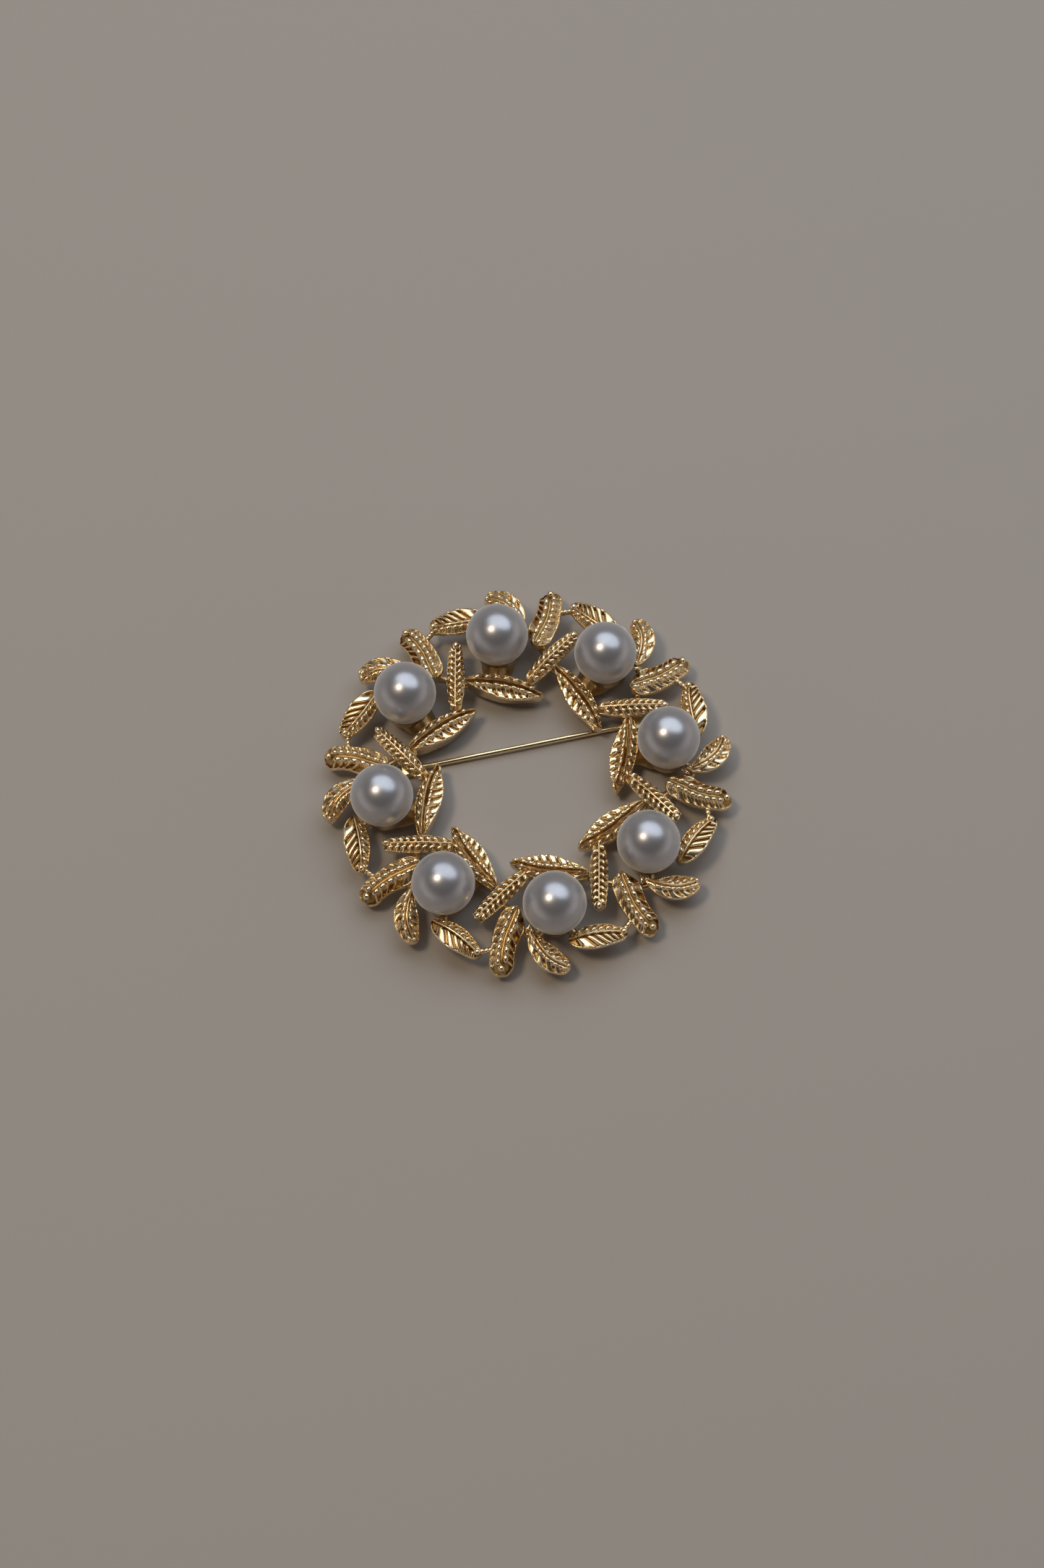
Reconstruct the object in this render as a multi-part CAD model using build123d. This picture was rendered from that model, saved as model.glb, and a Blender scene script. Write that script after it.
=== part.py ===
from build123d import *

from collections import namedtuple
from math import cos, hypot, pi, radians, sin, sqrt
import os

# A wreath brooch: eight pearls on a cast ring of leaves, with a pin across the back.
# The ring lies face up. Z points out of the face, X runs along the pin, and the
# origin is on the surface that the brooch rests on, under the centre of the ring.

# The ring and its pearls, in millimetres
module_count = 8
pearl_diameter = 8.0
pearl_gap = 6.24
pearl_clearance = 0.05

# Heights: the casting's back above the table, the pearls above that back, the leaves
back_height = 1.6
pearl_lift = 1.9
leaf_height = 3.0
edge_drop = 0.7
edge_drop_power = 1.6
edge_thickness = 0.45
keel_rise = 1.6
blunt_end = 0.25

# The cup under each pearl, with the peg that the pearl is glued on
cup_rim_diameter = 5.6
cup_foot_diameter = 5.2
peg_diameter = 1.0
peg_length = 3.0

# Widths of the five leaves of one module
inner_leaf_width = 3.5
beaded_leaf_width = 2.55
arched_leaf_width = 3.9
crescent_leaf_width = 3.1
outer_leaf_width = 3.1

# The cast relief, and the bars that solder one leaf to the next
rib_height = 0.28
rib_sweep = 0.16
bead_height = 0.3
bar_width = 1.1
bar_height = 1.5
bar_lift = 0.1
web_width = 4.2
web_height = 1.2
web_target = 0.38
neck_lift = 1.0
neck_height = 0.9
bead_diameter = 0.84

# The pin, its hinge and its catch
pin_offset = 5.3
pin_diameter = 0.66
shoulder_diameter = 0.9
shoulder_length = 1.8
pin_point_length = 3.0
pin_point_diameter = 0.2
pin_fall = 0.85
hinge_place = 14.3
catch_place = 15.0
pin_overrun = 1.6
knuckle_diameter = 1.1
knuckle_width = 0.9
rivet_diameter = 0.44
running_clearance = 0.05
finding_diameter = 1.5
ear_thickness = 0.5
catch_length = 2.0
catch_slot = 0.86
foot_thickness = 0.5
foot_width = 2.1
hinge_foot_length = 2.4
catch_foot_length = 2.6

# The share of a leaf's length over which its heading is measured
heading_step = 0.01

# Worked out from the sizes above
pearl_radius = pearl_diameter / 2
pitch = pearl_diameter + pearl_gap
ring_radius = pitch / (2 * sin(pi / module_count))
module_turn = 360 / module_count
pearl_height = back_height + pearl_lift + pearl_radius
pin_height = back_height - pin_fall

# One row for each section of a leaf. along and sideways are shares of the leaf's
# length, left and right are shares of its width, height is a share of leaf_height.
Section = namedtuple("Section", "along sideways left right height")

inner_sections = [
    Section(0.00, 0.000, 0.14, 0.14, 1.02),
    Section(0.10, 0.018, 0.22, 0.30, 1.05),
    Section(0.22, 0.037, 0.29, 0.45, 1.04),
    Section(0.46, 0.060, 0.33, 0.65, 0.98),
    Section(0.65, 0.062, 0.28, 0.63, 0.91),
    Section(0.85, 0.040, 0.14, 0.41, 0.80),
    Section(0.95, 0.015, 0.07, 0.20, 0.72),
    Section(1.00, 0.000, 0.03, 0.04, 0.67),
]
beaded_sections = [
    Section(0.00, 0.000, 0.24, 0.28, 0.95),
    Section(0.15, 0.000, 0.36, 0.38, 1.02),
    Section(0.27, 0.000, 0.42, 0.44, 1.09),
    Section(0.42, 0.000, 0.46, 0.48, 1.16),
    Section(0.58, 0.000, 0.46, 0.45, 1.18),
    Section(0.75, 0.000, 0.43, 0.40, 1.18),
    Section(0.90, 0.000, 0.38, 0.33, 1.17),
    Section(1.00, 0.000, 0.32, 0.28, 1.15),
]
arched_sections = [
    Section(0.00, 0.000, 0.18, 0.34, 1.22),
    Section(0.08, -0.015, 0.27, 0.42, 1.21),
    Section(0.27, -0.050, 0.48, 0.47, 1.12),
    Section(0.46, -0.083, 0.45, 0.45, 1.01),
    Section(0.66, -0.083, 0.41, 0.42, 0.92),
    Section(0.82, -0.060, 0.40, 0.42, 0.83),
    Section(0.94, -0.028, 0.40, 0.41, 0.66),
    Section(1.00, 0.000, 0.38, 0.38, 0.50),
]
crescent_sections = [
    Section(0.00, 0.000, 0.10, 0.14, 1.00),
    Section(0.14, -0.050, 0.16, 0.34, 1.00),
    Section(0.33, -0.110, 0.34, 0.52, 0.97),
    Section(0.60, -0.139, 0.48, 0.58, 0.89),
    Section(0.81, -0.088, 0.38, 0.49, 0.76),
    Section(0.93, -0.035, 0.27, 0.37, 0.65),
    Section(1.00, 0.000, 0.19, 0.24, 0.57),
]
outer_sections = [
    Section(0.00, 0.000, 0.18, 0.24, 0.90),
    Section(0.15, 0.015, 0.29, 0.50, 0.98),
    Section(0.32, 0.032, 0.38, 0.64, 1.03),
    Section(0.50, 0.038, 0.41, 0.66, 1.03),
    Section(0.70, 0.030, 0.37, 0.57, 0.98),
    Section(0.88, 0.012, 0.27, 0.42, 0.85),
    Section(1.00, 0.000, 0.20, 0.28, 0.77),
]

# Where each leaf of a module starts and ends, as shares of the pitch: across is
# clockwise round the ring from the pearl's centre, out is away from the ring's centre.
# left_drop and right_drop say how far the edges lie below the crest, back how far the
# flat back lies above the casting's lowest plane, as shares of edge_drop and leaf_height.
# taper is the width of the back as a share of the top, end the length of a rounded end.
Leaf = namedtuple(
    "Leaf",
    "root_across root_out tip_across tip_out width ribs columns left_drop right_drop "
    "back taper end sections",
)

leaves = {
    "inner": Leaf(
        -0.358, -0.277, 0.306, -0.550, inner_leaf_width, 9, 5,
        1.5, 0.8, 0.00, 0.85, 0.4, inner_sections,
    ),
    "beaded": Leaf(
        0.183, -0.408, 0.702, -0.067, beaded_leaf_width, 7, 7,
        1.0, 1.0, 0.05, 0.50, 0.3, beaded_sections,
    ),
    "arched": Leaf(
        0.316, -0.088, 0.565, 0.450, arched_leaf_width, 8, 5,
        1.5, 1.2, 0.02, 0.45, 1.4, arched_sections,
    ),
    "crescent": Leaf(
        0.246, 0.126, -0.030, 0.512, crescent_leaf_width, 5, 5,
        0.9, 0.6, 0.10, 0.45, 0.5, crescent_sections,
    ),
    "outer": Leaf(
        -0.056, 0.281, -0.583, 0.313, outer_leaf_width, 7, 5,
        1.2, 0.3, 0.07, 0.45, 0.5, outer_sections,
    ),
}

# The solder bars inside one module, and from it to the next one clockwise. Each end
# names a leaf and a share of its length, and "cup" is the cup under the pearl.
Bar = namedtuple("Bar", "start start_along end end_along width lift height")

module_bars = [
    Bar("cup", 0.0, "inner", web_target, web_width, bar_lift, web_height),
    Bar("cup", 0.0, "outer", 0.20, bar_width, bar_lift, bar_height),
    Bar("cup", 0.0, "crescent", 0.10, bar_width, bar_lift, bar_height),
    Bar("inner", 0.76, "beaded", 0.12, 0.9 * bar_width, bar_lift, bar_height),
    Bar("beaded", 0.52, "arched", 0.14, 1.2 * bar_width, bar_lift, bar_height),
    Bar("crescent", 0.12, "arched", 0.22, 0.9 * bar_width, bar_lift, bar_height),
]
next_module_bars = [
    Bar("beaded", 0.44, "inner", 0.06, 0.9 * bar_width, bar_lift, bar_height),
    Bar("arched", 0.62, "outer", 0.90, 0.6 * bar_width, neck_lift, neck_height),
]


def section_at(sections, along):
    """The section at any share of the leaf's length, on a smooth curve through the table."""
    count = sum(1 for section in sections if section.along <= along)
    first = min(max(count - 1, 0), len(sections) - 2)
    low = sections[first]
    high = sections[first + 1]
    before = sections[max(first - 1, 0)]
    after = sections[min(first + 2, len(sections) - 1)]
    span = high.along - low.along
    share = (along - low.along) / span
    values = []
    for p0, p1, p2, p3 in zip(before, low, high, after):
        slope_in = (p2 - p0) / (high.along - before.along) * span
        slope_out = (p3 - p1) / (after.along - low.along) * span
        values.append(
            p1 * (1 + 2 * share) * (1 - share) ** 2
            + slope_in * share * (1 - share) ** 2
            + p2 * share ** 2 * (3 - 2 * share)
            - slope_out * share ** 2 * (1 - share)
        )
    return Section(*values)


def leaf_centre(leaf, along):
    """Across, out and height of the leaf's crest, above the casting's back."""
    section = section_at(leaf.sections, along)
    run_across = (leaf.tip_across - leaf.root_across) * pitch
    run_out = (leaf.tip_out - leaf.root_out) * pitch
    across = leaf.root_across * pitch + run_across * along - run_out * section.sideways
    out = leaf.root_out * pitch + run_out * along + run_across * section.sideways
    return across, out, section.height * leaf_height


def roundness(leaf, along, length):
    """1 along the leaf, and less within this length of its ends, where it closes in a round."""
    run = pitch * hypot(leaf.tip_across - leaf.root_across, leaf.tip_out - leaf.root_out)
    near_end = min(max(min(along, 1 - along) * run / length, 0), 1)
    return blunt_end + (1 - blunt_end) * sqrt(1 - (1 - near_end) ** 2)


def leaf_point(leaf, along, side):
    """A point of the leaf's smooth top. side is -1 at its right edge and 1 at its left."""
    across, out, height = leaf_centre(leaf, along)
    back_point = leaf_centre(leaf, along - heading_step)
    front_point = leaf_centre(leaf, along + heading_step)
    heading_across = front_point[0] - back_point[0]
    heading_out = front_point[1] - back_point[1]
    length = hypot(heading_across, heading_out)
    section = section_at(leaf.sections, along)
    half_width = (section.left if side > 0 else section.right) * leaf.width
    half_width *= roundness(leaf, along, leaf.end)
    across -= heading_out / length * half_width * side
    out += heading_across / length * half_width * side
    drop = leaf.left_drop if side > 0 else leaf.right_drop
    return across, out, height - edge_drop * drop * abs(side) ** edge_drop_power


def to_world(across, out, height):
    """From a module's own place to the first module's place on the ring, pearl up the Y axis."""
    return Vector(across, ring_radius + out, back_height + height)


def polyhedron(loops):
    """A closed solid through a row of loops with equal counts of points, capped at both ends."""
    count = len(loops[0])
    triangles = []
    for near, far in zip(loops, loops[1:]):
        for i in range(count):
            j = (i + 1) % count
            triangles.append((near[i], near[j], far[j]))
            triangles.append((near[i], far[j], far[i]))
    for loop, turned in ((loops[0], True), (loops[-1], False)):
        for i in range(1, count - 1):
            corners = (loop[0], loop[i], loop[i + 1])
            triangles.append(corners[::-1] if turned else corners)
    faces = [Face(Wire.make_polygon(corners, close=True)) for corners in triangles]
    solid = Solid(Shell(faces))
    if solid.volume < 0:
        solid = Solid(solid.wrapped.Reversed())
    return solid


def relief(leaf, station, column):
    """How far a point of the grid stands above or below the leaf's smooth top."""
    last = leaf.columns - 1
    if column in (0, last, last // 2):
        return 0.0
    up = 1 if station % 2 else -1
    if leaf.columns > 5:
        return bead_height / 2 * up * (-1) ** column
    return rib_height / 2 * up


def keel_height(leaf, along):
    """How high the leaf's underside stands: flat, but rising to a thin edge at both ends."""
    back = leaf.back * leaf_height
    edge = min(leaf_point(leaf, along, side)[2] for side in (-1, 1)) - edge_thickness
    return back + max(edge - back, 0) * (1 - roundness(leaf, along, keel_rise))


def make_leaf(leaf):
    """One leaf: a ribbed top, walls that lean in, and a flat back that rises at the ends."""
    stations = 2 * leaf.ribs
    loops = []
    for station in range(stations + 1):
        along = station / stations
        loop = []
        for column in range(leaf.columns):
            side = 1 - 2 * column / (leaf.columns - 1)
            swept = along + rib_sweep * abs(side) * along * (1 - along)
            across, out, height = leaf_point(leaf, swept, side)
            ends = 0 if station in (0, stations) else 1
            height += relief(leaf, station, column) * ends
            loop.append(to_world(across, out, height))
        for side in (-leaf.taper, leaf.taper):
            swept = along + rib_sweep * along * (1 - along)
            across, out, height = leaf_point(leaf, swept, side)
            loop.append(to_world(across, out, keel_height(leaf, along)))
        loops.append(loop)
    return polyhedron(loops)


def make_cup():
    """The cup and peg under a pearl: a cone whose dish follows the pearl."""
    dish_radius = pearl_radius + pearl_clearance
    rim = cup_rim_diameter / 2
    peg = peg_diameter / 2
    rim_height = pearl_height - sqrt(dish_radius ** 2 - rim ** 2)
    peg_foot = pearl_height - sqrt(dish_radius ** 2 - peg ** 2)
    peg_top = pearl_height - pearl_radius + peg_length
    middle = (rim + peg) / 2
    middle_height = pearl_height - sqrt(dish_radius ** 2 - middle ** 2)
    foot = cup_foot_diameter / 2
    lines = [
        Line((0, 0, back_height), (foot, 0, back_height)),
        Line((foot, 0, back_height), (rim, 0, rim_height)),
        ThreePointArc((rim, 0, rim_height), (middle, 0, middle_height), (peg, 0, peg_foot)),
        Line((peg, 0, peg_foot), (peg, 0, peg_top)),
        Line((peg, 0, peg_top), (0, 0, peg_top)),
        Line((0, 0, peg_top), (0, 0, back_height)),
    ]
    profile = Face(Wire(lines))
    return Location((0, ring_radius, 0)) * revolve(profile, Axis.Z)


def make_bar(start, end, bar):
    """A straight bar between two places."""
    run = Vector(end.X - start.X, end.Y - start.Y, 0)
    middle = (start + end) / 2
    low = back_height + bar.lift
    plane = Plane(origin=(middle.X, middle.Y, low), x_dir=run.normalized(), z_dir=(0, 0, 1))
    box = Box(run.length, bar.width, bar.height, align=(Align.CENTER, Align.CENTER, Align.MIN))
    return plane.location * box


def bar_end(name, along):
    """Where a bar starts or ends in the first module."""
    if name == "cup":
        return Vector(0, ring_radius, back_height)
    return to_world(*leaf_centre(leaves[name], along))


def make_module():
    """The five leaves, the cup, and the bars to each other and to the next module."""
    solids = [make_leaf(leaf) for leaf in leaves.values()]
    solids.append(make_cup())
    for bar in module_bars:
        start = bar_end(bar.start, bar.start_along)
        end = bar_end(bar.end, bar.end_along)
        solids.append(make_bar(start, end, bar))
    for bar in next_module_bars:
        start = bar_end(bar.start, bar.start_along)
        end = bar_end(bar.end, bar.end_along).rotate(Axis.Z, -module_turn)
        solids.append(make_bar(start, end, bar))
    tip = to_world(*leaf_centre(leaves["beaded"], 1.0))
    solids.append(Location(tip) * Sphere(bead_diameter / 2))
    return solids


def along_pin(place, height, length, diameter):
    """A round bar along the X axis that starts at place, on the pin's own line."""
    plane = Plane(origin=(place, pin_offset, height), x_dir=(0, 1, 0), z_dir=(1, 0, 0))
    bar = Cylinder(diameter / 2, length, align=(Align.CENTER, Align.CENTER, Align.MIN))
    return plane.location * bar


def across_pin(place, width, diameter):
    """A round bar along the Y axis, centred on the pin's line, at the pin's height."""
    plane = Plane(origin=(place, pin_offset, pin_height), x_dir=(1, 0, 0), z_dir=(0, 1, 0))
    return plane.location * Cylinder(diameter / 2, width)


def block(length, width, low, high, place):
    """A plain block on the pin's line, from one height to another."""
    box = Box(length, width, high - low, align=(Align.CENTER, Align.CENTER, Align.MIN))
    return Location((place, pin_offset, low)) * box


def make_hinge():
    """A foot under the leaves, two round ears and the rivet that the pin turns on."""
    foot_low = pin_height + knuckle_diameter / 2 + running_clearance
    foot = block(hinge_foot_length, foot_width, foot_low, foot_low + foot_thickness, -hinge_place)
    gap = knuckle_width + 2 * running_clearance
    outside = gap + 2 * ear_thickness
    ears = across_pin(-hinge_place, outside, finding_diameter)
    ears += block(finding_diameter, outside, pin_height, foot_low + foot_thickness / 2, -hinge_place)
    room = finding_diameter + 2 * running_clearance
    ears -= block(room, gap, pin_height - room, foot_low, -hinge_place)
    rivet = across_pin(-hinge_place, outside, rivet_diameter)
    return foot + ears + rivet


def make_catch():
    """A foot under the leaves and a round clip whose mouth faces away from them."""
    foot_low = pin_height + knuckle_diameter / 2 + running_clearance
    foot = block(catch_foot_length, foot_width, foot_low, foot_low + foot_thickness, catch_place)
    clip = along_pin(catch_place - catch_length / 2, pin_height, catch_length, finding_diameter)
    clip += block(catch_length, finding_diameter, pin_height, foot_low + foot_thickness / 2, catch_place)
    clip -= along_pin(catch_place - catch_length, pin_height, 2 * catch_length, catch_slot)
    clip -= block(2 * catch_length, catch_slot, pin_height - finding_diameter, pin_height, catch_place)
    return foot + clip


def make_casting():
    """The whole wreath: the modules turned round the ring, with the hinge and the catch."""
    module = make_module()
    first = module[0].fuse(*module[1:])
    modules = [first.rotate(Axis.Z, -module_turn * i) for i in range(module_count)]
    return modules[0].fuse(*modules[1:], make_hinge(), make_catch())


def make_pearl():
    """One pearl, bored from below for its peg."""
    bore = peg_diameter / 2 + pearl_clearance
    depth = peg_length + pearl_clearance
    pearl = Sphere(pearl_radius)
    low = Location((0, 0, -2 * pearl_radius + depth))
    pearl -= low * Cylinder(bore, pearl_radius * 2, align=(Align.CENTER, Align.CENTER, Align.CENTER))
    return Location((0, ring_radius, pearl_height)) * pearl


def make_pin():
    """The round wire with its knuckle at one end and its point at the other."""
    end = catch_place + pin_overrun
    straight = end - pin_point_length + hinge_place
    pin = across_pin(-hinge_place, knuckle_width, knuckle_diameter)
    pin += along_pin(-hinge_place, pin_height, straight, pin_diameter)
    pin += along_pin(-hinge_place, pin_height, shoulder_length, shoulder_diameter)
    point_plane = Plane(
        origin=(end - pin_point_length, pin_offset, pin_height), x_dir=(0, 1, 0), z_dir=(1, 0, 0)
    )
    point = Cone(
        pin_diameter / 2, pin_point_diameter / 2, pin_point_length,
        align=(Align.CENTER, Align.CENTER, Align.MIN),
    )
    pin += point_plane.location * point
    bore = rivet_diameter + 2 * running_clearance
    pin -= across_pin(-hinge_place, 2 * knuckle_width, bore)
    return pin


os.makedirs("parts", exist_ok=True)
export_step(make_casting(), "parts/wreath_casting.step")
first_pearl = make_pearl()
for i in range(module_count):
    export_step(first_pearl.rotate(Axis.Z, -module_turn * i), f"parts/pearl_{i + 1}.step")
export_step(make_pin(), "parts/pin_stem.step")
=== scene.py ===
# %% [markdown]
# # A wreath brooch of cast leaves and pearls
# The brooch lies on its back: eight pearls on small cups, and round each pearl five
# leaves of plated metal with raised fingers on them. The whole ring is one little group
# of leaves, cast eight times. So this lesson makes one group with care, and lets
# Geometry Nodes turn it round the ring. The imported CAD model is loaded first, as a fixed
# frame: it says where everything is, and the detailed pieces stand in the places of its
# solids.

# %% Load the frame and measure it
from collections import namedtuple
from math import asin, cos, pi, radians, sin, sqrt, tau

import bpy
import numpy as np
from mathutils import Matrix, Vector


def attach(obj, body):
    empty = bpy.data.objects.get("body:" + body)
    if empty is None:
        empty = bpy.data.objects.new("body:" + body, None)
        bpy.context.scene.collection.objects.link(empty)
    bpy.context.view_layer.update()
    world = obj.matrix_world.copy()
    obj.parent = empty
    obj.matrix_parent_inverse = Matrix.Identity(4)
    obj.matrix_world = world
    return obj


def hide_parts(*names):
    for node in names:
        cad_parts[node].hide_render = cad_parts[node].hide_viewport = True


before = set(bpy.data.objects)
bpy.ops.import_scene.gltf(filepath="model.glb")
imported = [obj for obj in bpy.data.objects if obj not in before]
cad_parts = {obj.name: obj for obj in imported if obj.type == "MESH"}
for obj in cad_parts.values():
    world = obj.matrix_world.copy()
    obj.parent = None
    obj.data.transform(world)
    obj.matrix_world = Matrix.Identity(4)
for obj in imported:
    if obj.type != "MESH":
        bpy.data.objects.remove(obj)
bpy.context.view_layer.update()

# %% Sizes that the wreath and its leaves follow, in millimetres
MM = 0.001
module_count = 8
pearl_diameter = 8.0
pearl_gap = 6.24
pearl_clearance = 0.05
back_height = 1.6
pearl_lift = 1.9
leaf_height = 3.0
edge_drop = 0.7
edge_drop_power = 1.6
blunt_end = 0.25
pearl_radius = pearl_diameter / 2
pitch = pearl_diameter + pearl_gap
ring_radius = pitch / (2 * sin(pi / module_count))
pearl_height = back_height + pearl_lift + pearl_radius
print("pearls on a ring of", round(ring_radius, 2), "mm, at height", pearl_height, "mm")

# %% [markdown]
# ## The camera
# The photograph looks down on the brooch from in front, a little turned. The camera's
# three angles, its distance and its small offset put the eight pearls and the leaf
# tips where the photograph has them. A long lens keeps the far pearls nearly as large
# as the near ones.

# %% The camera, at the photograph's angle


def new_object(name, data):
    """A new object of the scene with this camera, lamp or mesh."""
    made = bpy.data.objects.new(name, data)
    bpy.context.scene.collection.objects.link(made)
    return made


camera_elevation = radians(69.5569)
camera_azimuth = radians(-5.45)
camera_roll = radians(-6.2794)
camera_distance = 367.1121
camera_offset = (0.4311, 2.2485)
focal_length = 66.36
back = Vector((
    sin(camera_azimuth) * cos(camera_elevation),
    -cos(camera_azimuth) * cos(camera_elevation),
    sin(camera_elevation),
))
level = Vector((cos(camera_azimuth), sin(camera_azimuth), 0.0))
upward = back.cross(level)
right = level * cos(camera_roll) + upward * sin(camera_roll)
up = -level * sin(camera_roll) + upward * cos(camera_roll)
place = -right * camera_offset[0] - up * camera_offset[1] + back * camera_distance
place.z += pearl_height

camera_data = bpy.data.cameras.new("camera")
camera_data.lens = focal_length
camera_data.sensor_width = 36.0
camera_data.clip_start = 0.01
camera_data.clip_end = 10.0
camera = new_object("camera", camera_data)
camera.matrix_world = Matrix.Translation(place * MM) @ Matrix((right, up, back)).transposed().to_4x4()
bpy.context.scene.camera = camera
print("camera at", [round(c, 4) for c in camera.location], "m")


def from_camera(x, y, z):
    """A direction given as right, up and towards the camera, in the frame's own axes."""
    return (right * x + up * y + back * z).normalized()


# %% [markdown]
# ## Shader groups that several finishes share
# Plated metal, pearl and wire all have faint cloudy changes of tone and a skin that is
# never quite smooth. Two small groups make those effects from the piece's own
# coordinates, so that the pattern stays on the piece when the piece moves. They give
# only colours, values and normals: the shaders stay in each material.

# %% A helper that adds and joins shader or geometry nodes


def add_node(tree, kind, settings=(), **links):
    """A new node. settings are (name, value) pairs, links are input name to value or socket."""
    node = tree.nodes.new(kind)
    for name, value in settings:
        setattr(node, name, value)
    for name, value in links.items():
        key = int(name[1:]) if name[0] == "i" and name[1:].isdigit() else name.replace("_", " ")
        socket = node.inputs[key]
        if isinstance(value, bpy.types.NodeSocket):
            tree.links.new(value, socket)
        else:
            socket.default_value = value
    return node


def maths(tree, operation, *values):
    """A maths node, for shaders and Geometry Nodes alike."""
    links = {f"i{i}": value for i, value in enumerate(values)}
    return add_node(tree, "ShaderNodeMath", [("operation", operation)], **links).outputs[0]


def mix_colours(tree, share, first, second):
    """Two colours mixed by a share."""
    mix = add_node(tree, "ShaderNodeMix", [("data_type", "RGBA")], i0=share, i6=first, i7=second)
    return mix.outputs[2]


socket_kinds = {float: "NodeSocketFloat", int: "NodeSocketInt", tuple: "NodeSocketColor"}


def new_group(name, kind, inputs, outputs):
    """An empty shader group or tree. Each input has a first value or a kind, each output a kind."""
    group = bpy.data.node_groups.new(name, kind)
    for label, value in inputs.items():
        socket_kind = socket_kinds.get(type(value), value)
        socket = group.interface.new_socket(label, in_out="INPUT", socket_type=socket_kind)
        if socket_kind != value:
            socket.default_value = value
    for label, socket_kind in outputs.items():
        group.interface.new_socket(label, in_out="OUTPUT", socket_type=socket_kind)
    return group, group.nodes.new("NodeGroupInput"), group.nodes.new("NodeGroupOutput")


# %% Cloudy tone: mixes two colours by soft noise in the piece's own space
cloudy_tone, cloud_in, cloud_out = new_group(
    "cloudy_tone", "ShaderNodeTree",
    {
        "Light colour": (1, 1, 1, 1), "Deep colour": (0.5, 0.5, 0.5, 1),
        "Scale": 300.0, "Smooth value": 0.1, "Rough value": 0.2,
    },
    {"Colour": "NodeSocketColor", "Roughness": "NodeSocketFloat"},
)
cloud_place = cloudy_tone.nodes.new("ShaderNodeTexCoord").outputs["Object"]
cloud_noise = add_node(
    cloudy_tone, "ShaderNodeTexNoise",
    Vector=cloud_place, Scale=cloud_in.outputs["Scale"], Detail=3.0, Roughness=0.6,
).outputs["Fac"]
cloud_share = add_node(
    cloudy_tone, "ShaderNodeMapRange",
    Value=cloud_noise, From_Min=0.35, From_Max=0.65, To_Min=0.0, To_Max=1.0,
).outputs["Result"]
cloud_mix = mix_colours(
    cloudy_tone, cloud_share, cloud_in.outputs["Light colour"], cloud_in.outputs["Deep colour"],
)
cloud_rough = add_node(
    cloudy_tone, "ShaderNodeMapRange",
    Value=cloud_share, To_Min=cloud_in.outputs["Smooth value"], To_Max=cloud_in.outputs["Rough value"],
).outputs["Result"]
cloudy_tone.links.new(cloud_mix, cloud_out.inputs["Colour"])
cloudy_tone.links.new(cloud_rough, cloud_out.inputs["Roughness"])

# %% Cast skin: a very shallow unevenness that bends reflections
cast_skin, skin_in, skin_out = new_group(
    "cast_skin", "ShaderNodeTree", {"Scale": 900.0, "Depth": 0.00001}, {"Normal": "NodeSocketVector"},
)
skin_place = cast_skin.nodes.new("ShaderNodeTexCoord").outputs["Object"]
skin_noise = add_node(
    cast_skin, "ShaderNodeTexNoise", Vector=skin_place, Scale=skin_in.outputs["Scale"], Detail=2.0,
).outputs["Fac"]
skin_bump = add_node(
    cast_skin, "ShaderNodeBump", Distance=skin_in.outputs["Depth"], Height=skin_noise,
).outputs["Normal"]
cast_skin.links.new(skin_bump, skin_out.inputs["Normal"])
print("shader groups:", [group.name for group in bpy.data.node_groups])

# %% [markdown]
# ## The finishes
# The leaves are a thin polished gold plate over a cheap casting: pale yellow where it
# catches light, orange where light bounces between the fingers. In the gaps, in the
# groove beside the wire, at the domes of the tips and on the parts under the pearls, the
# gold is painted brown and made a little rougher: this is painted shade, standing in for
# the shadow that lies there. A value on the mesh already knows where those places are,
# so the gold reads it. The pearls are plastic beads with a pearl coat, which is half
# mirror and half milk. Principled shaders carry all of them, and the shared groups vary
# colour, roughness and surface.

# %% One recipe for the finishes


def make_finish(name, light, deep, cloud_scale, smooth, rough, skin_scale, skin_depth, **sockets):
    """A Principled material whose tone, roughness and skin come from the shared groups."""
    material = bpy.data.materials.new(name)
    material.use_nodes = True
    tree = material.node_tree
    shader = tree.nodes["Principled BSDF"]
    tone = add_node(
        tree, "ShaderNodeGroup", [("node_tree", cloudy_tone)],
        Light_colour=(*light, 1), Deep_colour=(*deep, 1),
        Scale=cloud_scale, Smooth_value=smooth, Rough_value=rough,
    )
    skin = add_node(
        tree, "ShaderNodeGroup", [("node_tree", cast_skin)], Scale=skin_scale, Depth=skin_depth,
    )
    tree.links.new(tone.outputs["Colour"], shader.inputs["Base Color"])
    tree.links.new(tone.outputs["Roughness"], shader.inputs["Roughness"])
    tree.links.new(skin.outputs["Normal"], shader.inputs["Normal"])
    for socket, value in sockets.items():
        shader.inputs[socket.replace("_", " ")].default_value = value
    return material


gold_plate = make_finish(
    "gold_plate", light=(0.94, 0.76, 0.51), deep=(0.87, 0.67, 0.40), cloud_scale=500.0,
    smooth=0.20, rough=0.28, skin_scale=1500.0, skin_depth=0.000004, Metallic=1.0,
)
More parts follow.
